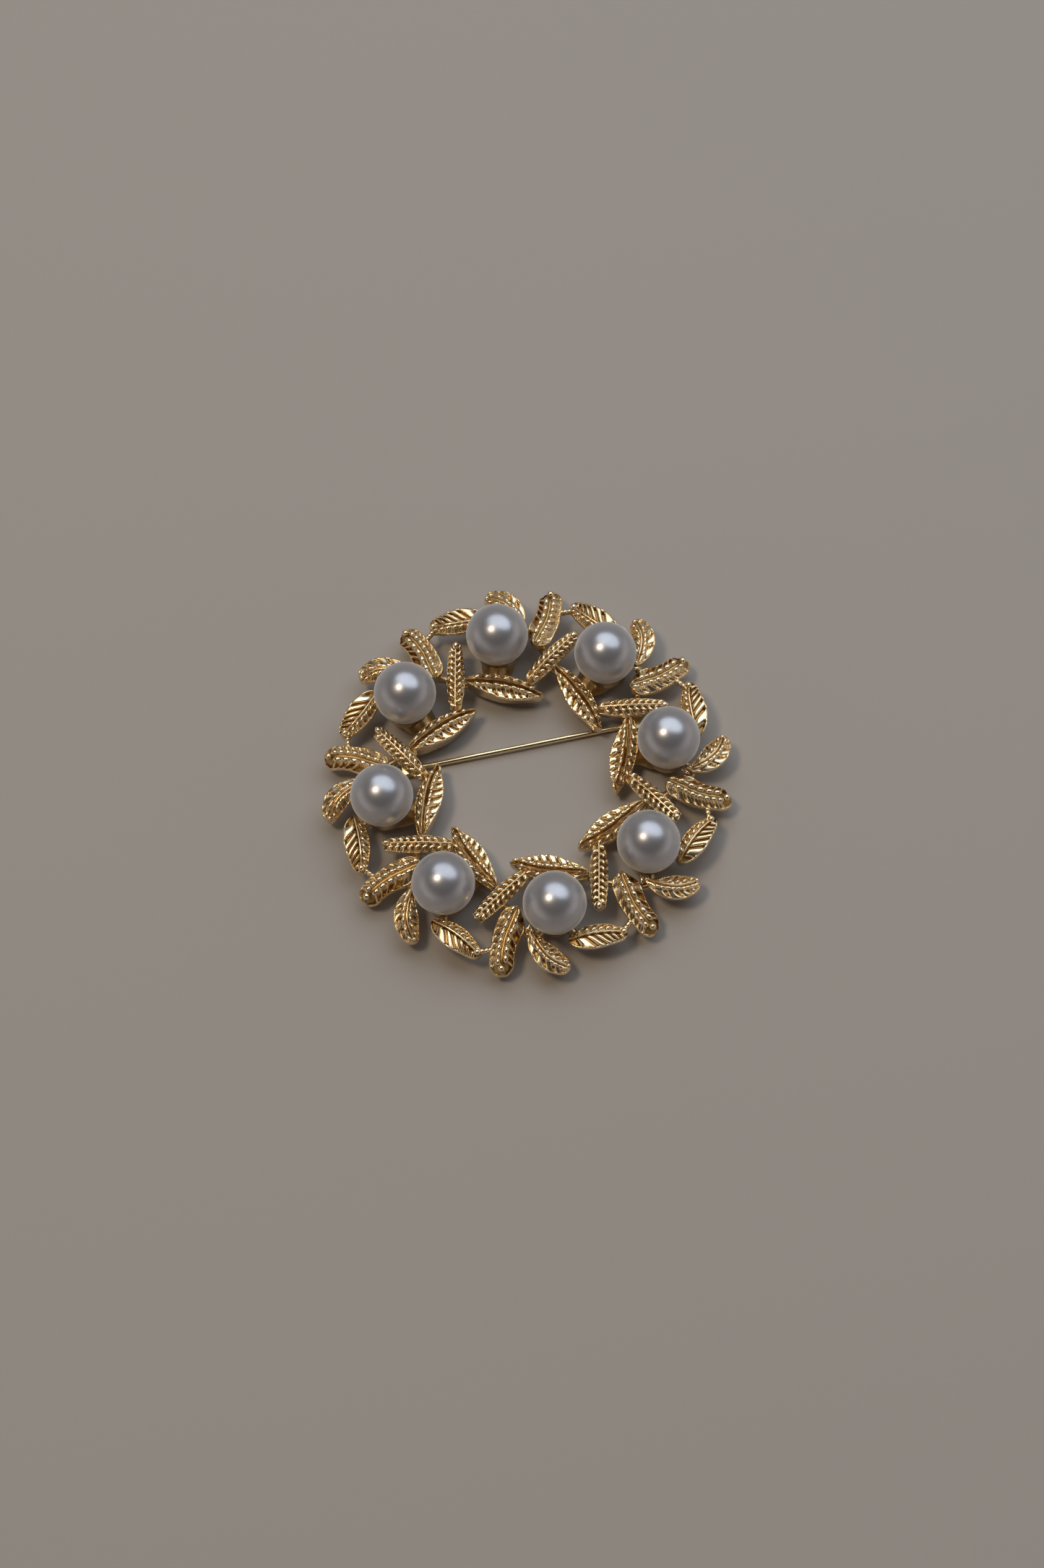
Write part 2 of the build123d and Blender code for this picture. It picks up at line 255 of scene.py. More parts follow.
# Painted shade: in the gaps, grooves, tip domes and the parts under the pearls, a value on the mesh mixes
# the gold towards dark brown and makes it rougher, standing in for the shade there.
painted_shade_colour = (0.35, 0.20, 0.045)
painted_shade_strength = 0.85
painted_shade_roughness = 0.15
gold_tree = gold_plate.node_tree
gold_shader = gold_tree.nodes["Principled BSDF"]
gold_painted_shade = add_node(gold_tree, "ShaderNodeAttribute", [("attribute_name", "painted_shade")]).outputs["Fac"]
gold_tone = gold_shader.inputs["Base Color"].links[0].from_socket
gold_shade_share = maths(gold_tree, "MULTIPLY", gold_painted_shade, painted_shade_strength)
gold_mix = mix_colours(gold_tree, gold_shade_share, gold_tone, (*painted_shade_colour, 1))
gold_tree.links.new(gold_mix, gold_shader.inputs["Base Color"])
gold_smooth = gold_shader.inputs["Roughness"].links[0].from_socket
gold_rough = maths(gold_tree, "MULTIPLY_ADD", gold_painted_shade, painted_shade_roughness, gold_smooth)
gold_tree.links.new(gold_rough, gold_shader.inputs["Roughness"])
pearl_coat = make_finish(
    "pearl_coat", light=(0.475, 0.452, 0.457), deep=(0.435, 0.412, 0.417), cloud_scale=400.0,
    smooth=0.29, rough=0.33, skin_scale=3000.0, skin_depth=0.0000005,
    Metallic=0.74, Specular_IOR_Level=0.3, Sheen_Weight=1.0, Sheen_Roughness=0.45,
)
pin_polish = make_finish(
    "pin_polish", light=(0.92, 0.76, 0.46), deep=(0.84, 0.64, 0.34), cloud_scale=300.0,
    smooth=0.12, rough=0.2, skin_scale=900.0, skin_depth=0.000003, Metallic=1.0,
)
print("finishes:", [material.name for material in bpy.data.materials])

# %% [markdown]
# ## The shape of a leaf
# Each kind of leaf is a short table: where its middle line runs, how wide it is to the
# left and right, and how high its crest stands. A smooth curve through the rows gives
# the section anywhere along the leaf. The rows are the same as in the CAD model, so the
# detailed leaf sits exactly where the solid one was.

# %% The tables of sections
# A row says how far along the section lies and how far sideways its crest stands, as
# shares of the length. Then it says how wide the leaf is on its left and on its right,
# and how high, as shares of its width and height.
inner_sections = [
    (0.00, 0.000, 0.14, 0.14, 1.02),
    (0.10, 0.018, 0.22, 0.30, 1.05),
    (0.22, 0.037, 0.29, 0.45, 1.04),
    (0.46, 0.060, 0.33, 0.65, 0.98),
    (0.65, 0.062, 0.28, 0.63, 0.91),
    (0.85, 0.040, 0.14, 0.41, 0.80),
    (0.95, 0.015, 0.07, 0.20, 0.72),
    (1.00, 0.000, 0.03, 0.04, 0.67),
]
beaded_sections = [
    (0.00, 0.000, 0.24, 0.28, 0.95),
    (0.15, 0.000, 0.36, 0.38, 1.02),
    (0.27, 0.000, 0.42, 0.44, 1.09),
    (0.42, 0.000, 0.46, 0.48, 1.16),
    (0.58, 0.000, 0.46, 0.45, 1.18),
    (0.75, 0.000, 0.43, 0.40, 1.18),
    (0.90, 0.000, 0.38, 0.33, 1.17),
    (1.00, 0.000, 0.32, 0.28, 1.15),
]
arched_sections = [
    (0.00, 0.000, 0.18, 0.34, 1.22),
    (0.08, -0.015, 0.27, 0.42, 1.21),
    (0.27, -0.050, 0.48, 0.47, 1.12),
    (0.46, -0.083, 0.45, 0.45, 1.01),
    (0.66, -0.083, 0.41, 0.42, 0.92),
    (0.82, -0.060, 0.40, 0.42, 0.83),
    (0.94, -0.028, 0.40, 0.41, 0.66),
    (1.00, 0.000, 0.38, 0.38, 0.50),
]
crescent_sections = [
    (0.00, 0.000, 0.10, 0.14, 1.00),
    (0.14, -0.050, 0.16, 0.34, 1.00),
    (0.33, -0.110, 0.34, 0.52, 0.97),
    (0.60, -0.139, 0.48, 0.58, 0.89),
    (0.81, -0.088, 0.38, 0.49, 0.76),
    (0.93, -0.035, 0.27, 0.37, 0.65),
    (1.00, 0.000, 0.19, 0.24, 0.57),
]
outer_sections = [
    (0.00, 0.000, 0.18, 0.24, 0.90),
    (0.15, 0.015, 0.29, 0.50, 0.98),
    (0.32, 0.032, 0.38, 0.64, 1.03),
    (0.50, 0.038, 0.41, 0.66, 1.03),
    (0.70, 0.030, 0.37, 0.57, 0.98),
    (0.88, 0.012, 0.27, 0.42, 0.85),
    (1.00, 0.000, 0.20, 0.28, 0.77),
]

# %% Where each leaf of the group starts and ends, as shares of the pitch of the pearls
Leaf = namedtuple(
    "Leaf",
    "root_across root_out tip_across tip_out width left_drop right_drop back taper end sections",
)
leaves = {
    "inner": Leaf(-0.358, -0.277, 0.306, -0.550, 3.5, 1.5, 0.8, 0.00, 0.85, 0.4, inner_sections),
    "beaded": Leaf(0.183, -0.408, 0.702, -0.067, 2.55, 1.0, 1.0, 0.05, 0.50, 0.3, beaded_sections),
    "arched": Leaf(0.316, -0.088, 0.565, 0.450, 3.9, 1.5, 1.2, 0.02, 0.45, 1.4, arched_sections),
    "crescent": Leaf(0.246, 0.126, -0.030, 0.512, 3.1, 0.9, 0.6, 0.10, 0.45, 0.5, crescent_sections),
    "outer": Leaf(-0.056, 0.281, -0.583, 0.313, 3.1, 1.2, 0.3, 0.07, 0.45, 0.5, outer_sections),
}

# %% Reading a leaf: its middle line, its edges and its smooth top


def sections_at(sections, along):
    """One row of values for each share of the length, on a smooth curve through the table."""
    table = np.array(sections)
    along = np.atleast_1d(np.asarray(along, float))
    low = np.clip(np.searchsorted(table[:, 0], along, side="right") - 1, 0, len(table) - 2)
    high = low + 1
    before = np.maximum(low - 1, 0)
    after = np.minimum(low + 2, len(table) - 1)
    span = (table[high, 0] - table[low, 0])[:, None]
    share = (along[:, None] - table[low, 0][:, None]) / span
    slope_in = (table[high] - table[before]) / (table[high, 0] - table[before, 0])[:, None] * span
    slope_out = (table[after] - table[low]) / (table[after, 0] - table[low, 0])[:, None] * span
    return (
        table[low] * (1 + 2 * share) * (1 - share) ** 2
        + slope_in * share * (1 - share) ** 2
        + table[high] * share**2 * (3 - 2 * share)
        - slope_out * share**2 * (1 - share)
    )


def leaf_middle(leaf, along):
    """Across, out and height in mm of the crest at each share of the length."""
    rows = sections_at(leaf.sections, along)
    run_across = (leaf.tip_across - leaf.root_across) * pitch
    run_out = (leaf.tip_out - leaf.root_out) * pitch
    across = leaf.root_across * pitch + run_across * rows[:, 0] - run_out * rows[:, 1]
    out = leaf.root_out * pitch + run_out * rows[:, 0] + run_across * rows[:, 1]
    return across, out, rows[:, 4] * leaf_height


def leaf_length(leaf):
    """The straight distance from root to tip, in mm."""
    return pitch * sqrt((leaf.tip_across - leaf.root_across) ** 2 + (leaf.tip_out - leaf.root_out) ** 2)


def leaf_roundness(leaf, along):
    """1 along the leaf, and less near its ends, where the outline closes in a round."""
    near_end = np.clip(np.minimum(along, 1 - along) * leaf_length(leaf) / leaf.end, 0, 1)
    return blunt_end + (1 - blunt_end) * np.sqrt(1 - (1 - near_end) ** 2)


def half_width(leaf, along, leftness):
    """How far the edge is from the crest, in mm, on the left (1) or the right (-1)."""
    rows = sections_at(leaf.sections, along)
    wide = np.where(leftness > 0, rows[:, 2], rows[:, 3]) * leaf.width
    return wide * leaf_roundness(leaf, along)


def leaf_surface(leaf, along, side):
    """Points of the smooth top, in mm in the group's own place. side is 1 left to -1 right."""
    along, side = np.broadcast_arrays(np.asarray(along, float), np.asarray(side, float))
    shape = along.shape
    along = along.ravel()
    side = side.ravel()
    step = 0.01
    across, out, height = leaf_middle(leaf, along)
    ahead = leaf_middle(leaf, along + step)
    behind = leaf_middle(leaf, along - step)
    heading = np.stack([ahead[0] - behind[0], ahead[1] - behind[1]], 1)
    heading /= np.linalg.norm(heading, axis=1)[:, None]
    reach = half_width(leaf, along, side) * side
    drop = np.where(side > 0, leaf.left_drop, leaf.right_drop) * edge_drop
    height = height - drop * np.abs(side) ** edge_drop_power
    points = np.stack([across - heading[:, 1] * reach, out + heading[:, 0] * reach, height], 1)
    return points.reshape(*shape, 3)


for name, leaf in leaves.items():
    print(name, "leaf:", round(leaf_length(leaf), 2), "mm from root to tip")

# %% [markdown]
# ## The relief on a leaf
# Real leaves of this kind have a midrib like a fine wire. On each side of it stand plump
# slanting fingers with dark gaps between them, and a smooth raised rim runs round the
# edge. They could be sculpted, or painted as bump, but a finger's outline shows against
# the light, so it is real geometry here. The mesh code lays a fine grid over the smooth
# top and slants its rows as the fingers slant. Across each row it shapes, from the crest
# outwards, the wire, a low ridge that carries the heads of the fingers, a valley that
# rises again over the width called fade, and the rim. The big arched leaf also sinks
# beside its wire, and it ends in a smooth dome, past the share of its length called
# dome: a dome over 1 means that a leaf has none. Five values go with the points. Row,
# reach and half say where a point lies on its leaf. Depth says how deep the valley is,
# because fingers stand tall only in the valley. The fifth says how far the gold is
# darkened to brown: it is shade painted into the valleys, the groove and the dome. The
# tree that comes after it reads them and raises the fingers.

# %% What each leaf's wire, valleys and rims measure, in millimetres
Relief = namedtuple(
    "Relief",
    "side wire sink ridge_at ridge_half ridge_height under valley fade rim rim_height slant dome",
)
reliefs = {
    "inner": (
        Relief(1, 0.26, 0.0, 0.46, 0.20, 0.08, 0.5, 0.56, 0.30, 0.10, 0.10, 0.7, 1.1),
        Relief(-1, 0.26, 0.0, 0.72, 0.20, 0.24, 0.9, 0.70, 0.60, 0.16, 0.10, 0.8, 1.1),
    ),
    "beaded": (
        Relief(1, 0.20, 0.0, 0.42, 0.22, 0.0, 0.0, 0.42, 0.20, 0.06, 0.0, 0.8, 1.1),
        Relief(-1, 0.20, 0.0, 0.42, 0.22, 0.0, 0.0, 0.42, 0.20, 0.06, 0.0, 0.8, 1.1),
    ),
    "arched": (
        Relief(1, 0.06, 0.2, 0.50, 0.32, 0.22, 1.0, 0.70, 0.16, 0.18, 0.10, 1.3, 0.84),
        Relief(-1, 0.06, 0.2, 0.48, 0.30, 0.22, 1.0, 0.30, 0.30, 0.20, 0.12, 1.0, 0.84),
    ),
    "crescent": (
        Relief(1, 0.18, 0.0, 0.44, 0.20, 0.06, 0.5, 0.45, 0.30, 0.10, 0.10, 0.8, 1.1),
        Relief(-1, 0.18, 0.0, 0.50, 0.22, 0.14, 1.0, 0.48, 0.45, 0.20, 0.12, 1.0, 1.1),
    ),
    "outer": (
        Relief(1, 0.14, 0.0, 0.44, 0.20, 0.04, 0.5, 0.42, 0.30, 0.10, 0.10, 0.8, 1.1),
        Relief(-1, 0.14, 0.0, 0.44, 0.20, 0.00, 0.0, 0.58, 0.30, 0.22, 0.12, 1.2, 1.1),
    ),
}
wire_half = 0.13
wire_foot = 0.85
gap_beside_wire = 0.12
ridge_shoulder = 0.1
rim_foot = 0.75
dome_rise = 0.04
dome_edge = 0.15
dome_depth = 0.7
full_relief_half = 0.85
finest_relief = 0.1
# How strongly the valley, the groove and narrowness set the painted shade of the gold.
shade_valley = 0.5
shade_sink = 4
shade_gain = 1.3
edge_thickness = 0.45
edge_steps = ((0.1, 1.0), (0.5, 1.0), (1.0, 0.97))
keel_rise = 1.6
keel_gap = 0.02
stations = 144
end_crowding = 0.2
lead_ramp = 0.2
near_columns = np.array([0.0, 0.05, 0.09, 0.12, 0.15, 0.19])
far_columns = np.array([1.35, 1.15, 1.0, 0.8, 0.55, 0.3, 0.1, 0.0])
between_columns = 9
between_crowding = 1.2

# %% One leaf as a closed mesh


def smooth_step(low, high, value):
    """0 below low, 1 above high, and a soft rise between."""
    share = np.clip((value - low) / (high - low), 0, 1)
    return share * share * (3 - 2 * share)


def round_top(value):
    """The height of a half circle of radius 1 at this distance from its middle."""
    return np.sqrt(np.clip(1 - value**2, 0, 1))


def slim(half):
    """How much finer the relief gets where the leaf is narrow."""
    return np.clip(half / full_relief_half, finest_relief, 1)


def reaches(half, relief):
    """Distances from the crest to the grid's columns, close together at the wire and the rim."""
    fine = slim(half)[:, None]
    near = near_columns[None, :] * fine
    far = half[:, None] - far_columns[None, :] * relief.rim * fine
    share = np.linspace(0, 1, between_columns + 2)[None, 1:-1] ** between_crowding
    return np.hstack([near, near[:, -1:] + (far[:, :1] - near[:, -1:]) * share, far])


def new_mesh_object(name, points, faces=(), guides=(), edges=()):
    """A linked mesh object, in metres from points in mm, with guide values on its points."""
    mesh = bpy.data.meshes.new(name)
    mesh.from_pydata((np.asarray(points, float) * MM).tolist(), edges, faces)
    for guide, values in dict(guides).items():
        values = np.asarray(values, np.float32).ravel()
        kind, key = ("FLOAT", "value") if len(values) == len(points) else ("FLOAT_VECTOR", "vector")
        mesh.attributes.new(guide, kind, "POINT").data.foreach_set(key, values)
    return new_object(name, mesh)


def lead_share(row):
    """How much of the slant the fingers have here: less at the root and the tip."""
    return (1 - row**3) * smooth_step(0.0, lead_ramp, row)


def make_flank(leaf, relief):
    """Points, row number, reach, half width, painted shade and depth of the grid on one side."""
    ends = 0.5 - 0.5 * np.cos(np.linspace(0, pi, stations + 1))
    row = (1 - end_crowding) * np.linspace(0, 1, stations + 1) + end_crowding * ends
    first_guess = reaches(half_width(leaf, row, relief.side), relief)
    lead = relief.slant * first_guess / leaf_length(leaf)
    along = row[:, None] + lead * lead_share(row)[:, None]
    along = np.clip(along, 0, 1)
    half = half_width(leaf, along.ravel(), relief.side).reshape(along.shape)
    count = along.shape[1]
    reach = np.stack([reaches(half[:, j], relief)[:, j] for j in range(count)], 1)
    side = relief.side * reach / np.maximum(half, 1e-6)
    points = leaf_surface(leaf, along, side)
    fine = slim(half)
    inward = (half - reach) / fine
    out = reach / fine
    wire = relief.wire * round_top(out / wire_half)
    edge = relief.rim_height * round_top(2 * inward / relief.rim - 1)
    off_ridge = np.abs(out - relief.ridge_at)
    ridge = relief.ridge_height * round_top(off_ridge / relief.ridge_half)
    away = smooth_step(wire_foot * wire_half, wire_half + gap_beside_wire, out)
    away *= 1 - relief.under * smooth_step(relief.ridge_half + ridge_shoulder, relief.ridge_half, off_ridge)
    away *= smooth_step(rim_foot * relief.rim, relief.rim + relief.fade, inward)
    depth = away.copy()
    bowl = smooth_step(relief.dome, relief.dome + dome_rise, along)
    bowl *= smooth_step(relief.rim / 2, relief.rim + dome_edge, inward)
    away += (1 - away) * bowl * dome_depth
    sunk = relief.sink * smooth_step(relief.ridge_at, relief.ridge_at / 2, out) * (1 - bowl)
    ridge *= 1 - bowl
    wire *= 1 - bowl
    points[:, :, 2] += (wire + edge + ridge - relief.valley * away - sunk) * fine
    # Painted shade: the gold darkens with the valley's depth, in the dome and in the groove beside the
    # wire, where the real leaf lies in shade; it fades where the leaf is narrow.
    painted_shade = np.clip(relief.valley * away / shade_valley + bowl + shade_sink * sunk, 0, 1)
    painted_shade *= np.clip(fine * shade_gain, 0, 1)
    return points, np.repeat(row[:, None], count, 1), reach, half, painted_shade, depth


def closed_loft(name, points, guides=()):
    """A closed mesh through rows of points in the group's own place, with a cap at each end."""
    rows, around = points.shape[:2]
    points = points + (0, ring_radius, back_height)
    faces = []
    for i in range(rows - 1):
        for j in range(around):
            k = (j + 1) % around
            faces.append((i * around + j, i * around + k, (i + 1) * around + k, (i + 1) * around + j))
    faces.append(tuple(range(around))[::-1])
    faces.append(tuple((rows - 1) * around + j for j in range(around)))
    return new_mesh_object(name, points.reshape(-1, 3), faces, guides)


def make_leaf(name):
    """The leaf's fine grid, its thin edge and the keel that leans in below it."""
    leaf = leaves[name]
    left, right = [make_flank(leaf, relief) for relief in reliefs[name]]
    top = np.hstack([left[0][:, ::-1], right[0][:, 1:]])
    crest = right[0][:, 0]
    floor = leaf.back * leaf_height
    edge_low = np.minimum(top[:, 0, 2], top[:, -1, 2]) - edge_thickness
    keel_end = leaf_roundness(leaf._replace(end=keel_rise), right[1][:, 0])
    keel = floor + np.maximum(edge_low - floor, 0) * (1 - keel_end)
    walls = []
    for edge in (top[:, -1], top[:, 0]):
        rows = []
        for deep, push in edge_steps:
            low = np.maximum(edge[:, 2] - edge_thickness * deep, keel + keel_gap)
            rows.append(np.column_stack([crest[:, :2] + (edge[:, :2] - crest[:, :2]) * push, low]))
        rows.append(np.column_stack([crest[:, :2] + (edge[:, :2] - crest[:, :2]) * leaf.taper, keel]))
        walls.append(rows)
    loop = [top[:, i] for i in range(top.shape[1])] + walls[0] + walls[1][::-1]
    blank = np.zeros((stations + 1, 2 * len(walls[0])))
    guides = {}
    for column, guide in enumerate(("row", "reach", "half", "painted_shade", "depth"), 1):
        sign = -1 if guide == "reach" else 1
        guides[guide] = np.hstack([left[column][:, ::-1], sign * right[column][:, 1:], blank])
    return closed_loft(f"{name}_leaf", np.stack(loop, 1), guides)


# %% [markdown]
# ## Trees that repeat things
# Three small Geometry Nodes trees do the repeating. One raises fingers on a leaf from its
# guide values, flat on top, with round ends. One sets a bead on each of a cloud of
# points, with the size and turn that the point carries. One turns a finished group round
# the ring and bends each copy a very little, as castings differ. Each could be a loop in
# Python, but a tree keeps its sizes as inputs and does all points at once. Each ends in
# Realize Instances and Set Material, so that what comes out is a plain mesh.

# %% Helpers: a new tree, its end, and its result as a plain mesh


def new_tree(name, inputs):
    """An empty geometry tree with the named inputs and a finish that is set at its end."""
    geometry = {"Geometry": "NodeSocketGeometry"}
    sockets = {**geometry, **inputs, "Finish": "NodeSocketMaterial"}
    return new_group(name, "GeometryNodeTree", sockets, geometry)


def end_tree(tree, tree_in, tree_out, geometry):
    """Ends a tree: instances are made real, the finish is set and the result is handed out."""
    real = add_node(tree, "GeometryNodeRealizeInstances", Geometry=geometry).outputs[0]
    finish = tree_in.outputs["Finish"]
    finished = add_node(tree, "GeometryNodeSetMaterial", Geometry=real, Material=finish).outputs[0]
    tree.links.new(finished, tree_out.inputs["Geometry"])


def named(tree, name, kind="FLOAT"):
    """Reads a value that is stored on the mesh."""
    return add_node(tree, "GeometryNodeInputNamedAttribute", [("data_type", kind)], Name=name).outputs[0]


def keep_result(made):
    """Keeps what the object's modifiers make as its plain mesh."""
    graph = bpy.context.evaluated_depsgraph_get()
    plain = bpy.data.meshes.new_from_object(made.evaluated_get(graph))
    made.modifiers.clear()
    old = made.data
    made.data = plain
    bpy.data.meshes.remove(old)


def run_tree(made, tree, **values):
    """Runs the tree on the object with the given inputs and keeps the result as its plain mesh."""
    modifier = made.modifiers.new(tree.name, "NODES")
    modifier.node_group = tree
    for item in tree.interface.items_tree:
        key = item.name.replace(" ", "_")
        if item.in_out == "INPUT" and key in values:
            modifier[item.identifier] = values[key]
    keep_result(made)
    return made


# %% The tree that raises one row of fingers
finger_end_radius = 0.26
finger_flatness = 3.5
finger_head_length = 0.55
finger_least_lift = 0.2
finger_cover_gain = 1.6
finger_tree, finger_in, finger_out = new_tree(
    "raise_fingers",
    {
        "Side": 1.0, "Count": 8.0, "Shift": 0.0, "Fill": 0.65, "Start": 0.3, "Stop": 0.3,
        "Head": 0.4, "Foot": 0.3, "First": 0.05, "Last": 0.95,
    },
)
given = finger_in.outputs


def finger(operation, *values):
    """A maths node of the finger tree."""
    return maths(finger_tree, operation, *values)


def product(first, *others):
    """All the values multiplied in the finger tree."""
    for other in others:
        first = finger("MULTIPLY", first, other)
    return first


finger_row = named(finger_tree, "row")
finger_half = named(finger_tree, "half")
finger_reach = product(named(finger_tree, "reach"), given["Side"])
finger_slim = finger("DIVIDE", finger_half, full_relief_half)
finger_fine = finger("MINIMUM", finger("MAXIMUM", finger_slim, finest_relief), 1.0)
finger_radius = product(finger_fine, finger_end_radius)
finger_begin = finger("MULTIPLY_ADD", given["Start"], finger_fine, finger_radius)
finger_end = finger("MULTIPLY_ADD", given["Stop"], finger_fine, finger_radius)
finger_end = finger("SUBTRACT", finger_half, finger_end)
finger_short = finger("DIVIDE", finger("SUBTRACT", finger_begin, finger_reach), finger_radius)
finger_long = finger("DIVIDE", finger("SUBTRACT", finger_reach, finger_end), finger_radius)
finger_ends = finger("MAXIMUM", finger("MAXIMUM", finger_short, finger_long), 0.0)
finger_beat = finger("MULTIPLY_ADD", finger_row, given["Count"], given["Shift"])
finger_phase = finger("MULTIPLY_ADD", finger("FRACT", finger_beat), 2.0, -1.0)
finger_across = finger("DIVIDE", finger("ABSOLUTE", finger_phase), given["Fill"])
finger_flat = finger("POWER", finger_across, finger_flatness)
finger_square = finger("MULTIPLY_ADD", finger_ends, finger_ends, finger_flat)
finger_round = finger("SQRT", finger("MAXIMUM", finger("SUBTRACT", 1.0, finger_square), 0.0))
finger_share = add_node(
    finger_tree, "ShaderNodeMapRange", [("interpolation_type", "SMOOTHSTEP")],
    Value=finger_reach, From_Min=finger_begin,
    From_Max=finger("MULTIPLY_ADD", finger_fine, finger_head_length, finger_begin),
    To_Min=given["Head"], To_Max=given["Foot"],
).outputs["Result"]
finger_first = finger("GREATER_THAN", finger_row, given["First"])
finger_last = finger("LESS_THAN", finger_row, given["Last"])
finger_depth = named(finger_tree, "depth")
finger_deep = finger("MULTIPLY_ADD", finger_depth, 1 - finger_least_lift, finger_least_lift)
finger_lift = product(finger_round, finger_share, finger_fine, finger_first, finger_last, finger_deep, MM)
finger_offset = add_node(finger_tree, "ShaderNodeCombineXYZ", Z=finger_lift).outputs[0]
fingers_raised = add_node(
    finger_tree, "GeometryNodeSetPosition", Geometry=given["Geometry"], Offset=finger_offset,
).outputs[0]
# Where a finger rises out of a gap, the painted shade of the gap is taken off its top.
finger_cover = product(finger_round, finger_first, finger_last, finger_cover_gain)
finger_bare = finger("SUBTRACT", 1.0, finger("MINIMUM", finger_cover, 1.0))
fingers_marked = add_node(
    finger_tree, "GeometryNodeStoreNamedAttribute", [("data_type", "FLOAT"), ("domain", "POINT")],
    Geometry=fingers_raised, Name="painted_shade", Value=product(named(finger_tree, "painted_shade"), finger_bare),
).outputs[0]
end_tree(finger_tree, finger_in, finger_out, fingers_marked)

# %% The tree that sets a bead on each point
bead_tree, bead_in, bead_out = new_tree(
    "bead_on_points", {"Segments": 12, "Rings": 7},
)
bead_shape = add_node(
    bead_tree, "GeometryNodeMeshUVSphere",
    Segments=bead_in.outputs["Segments"], Rings=bead_in.outputs["Rings"], Radius=0.5,
).outputs[0]
beads_set = add_node(
    bead_tree, "GeometryNodeInstanceOnPoints",
    Points=bead_in.outputs["Geometry"], Instance=bead_shape,
    Rotation=named(bead_tree, "bead_turn", "FLOAT_VECTOR"),
    Scale=named(bead_tree, "bead_size", "FLOAT_VECTOR"),
).outputs[0]
end_tree(bead_tree, bead_in, bead_out, beads_set)

# %% The tree that turns a group round the ring
bend_scale = 260.0
ring_tree, ring_in, ring_out = new_tree(
    "round_the_ring", {"Count": 8, "Unevenness": 0.0, "Seed": 0.0},
)
ring_points = add_node(ring_tree, "GeometryNodePoints", Count=ring_in.outputs["Count"]).outputs[0]
ring_index = ring_tree.nodes.new("GeometryNodeInputIndex").outputs[0]
ring_share = maths(ring_tree, "DIVIDE", ring_index, ring_in.outputs["Count"])
ring_angle = maths(ring_tree, "MULTIPLY", ring_share, -tau)
ring_turn = add_node(ring_tree, "ShaderNodeCombineXYZ", Z=ring_angle).outputs[0]
ring_set = add_node(
    ring_tree, "GeometryNodeInstanceOnPoints",
    Points=ring_points, Instance=ring_in.outputs["Geometry"], Rotation=ring_turn,
).outputs[0]
ring_real = add_node(ring_tree, "GeometryNodeRealizeInstances", Geometry=ring_set).outputs[0]
ring_noise = add_node(
    ring_tree, "ShaderNodeTexNoise", [("noise_dimensions", "4D")],
    W=ring_in.outputs["Seed"], Scale=bend_scale, Detail=0.0,
).outputs["Color"]
ring_centred = add_node(
    ring_tree, "ShaderNodeVectorMath", [("operation", "SUBTRACT")], i0=ring_noise, i1=(0.5, 0.5, 0.5),
).outputs[0]
ring_offset = add_node(
    ring_tree, "ShaderNodeVectorMath", [("operation", "SCALE")],
    i0=ring_centred, Scale=ring_in.outputs["Unevenness"],
).outputs[0]
ring_bent = add_node(
    ring_tree, "GeometryNodeSetPosition", Geometry=ring_real, Offset=ring_offset,
).outputs[0]
end_tree(ring_tree, ring_in, ring_out, ring_bent)
print("geometry trees:", [tree.name for tree in (finger_tree, bead_tree, ring_tree)])

# %% [markdown]
# ## The rows of fingers and the loose beads
# On each leaf a row of fingers stands on either side of the wire. The table says how many
# fingers a row has, how much of their pitch they fill, where they start from the crest
# and stop before the edge, how high their inner end and their foot rise out of the
# valley, and between which shares of the length the row runs. Tips and necks carry small
# round beads, and most fingers have a plump head, which is a longer bead. A second tree
# sets them all on points.

# %% The rows of fingers
Fingers = namedtuple("Fingers", "leaf side count shift fill start stop head foot first last")
finger_rows = [
    Fingers("inner", -1, 8.5, 0.5, 0.80, 0.66, 0.00, 0.62, 0.54, 0.05, 0.98),
    Fingers("inner", 1, 8.5, 0.4, 0.76, 0.24, 0.00, 0.60, 0.60, 0.05, 0.97),
    Fingers("beaded", -1, 9.5, 0.5, 0.66, 0.16, 0.00, 0.46, 0.46, 0.04, 0.97),
    Fingers("beaded", 1, 9.5, 0.0, 0.66, 0.16, 0.00, 0.46, 0.46, 0.04, 0.97),
    Fingers("arched", -1, 9.0, 0.0, 0.82, 0.48, 0.06, 0.34, 0.34, 0.03, 0.84),
    Fingers("arched", 1, 6.5, 0.5, 0.52, 0.50, 0.04, 0.72, 0.72, 0.03, 0.84),
    Fingers("crescent", -1, 5.5, 0.5, 0.80, 0.46, 0.04, 0.56, 0.56, 0.05, 0.92),
    Fingers("crescent", 1, 6.0, 0.2, 0.76, 0.24, 0.00, 0.50, 0.50, 0.05, 0.95),
    Fingers("outer", -1, 6.8, 0.5, 0.76, 0.20, 0.06, 0.72, 0.72, 0.06, 0.95),
    Fingers("outer", 1, 8.0, 0.3, 0.76, 0.22, 0.00, 0.52, 0.52, 0.06, 0.95),
]

# %% Points with a size and a turn, for the heads and the loose beads
bead_segments = 8
bead_rings = 6


def make_beads(name, rows):
    """One mesh of beads from rows of place, size and turn, made by the bead tree."""
    places, sizes, turns = zip(*rows)
    guides = {"bead_size": np.array(sizes) * MM, "bead_turn": turns}
    cloud = new_mesh_object(name, places, guides=guides)
    return run_tree(cloud, bead_tree, Segments=bead_segments, Rings=bead_rings, Finish=gold_plate)


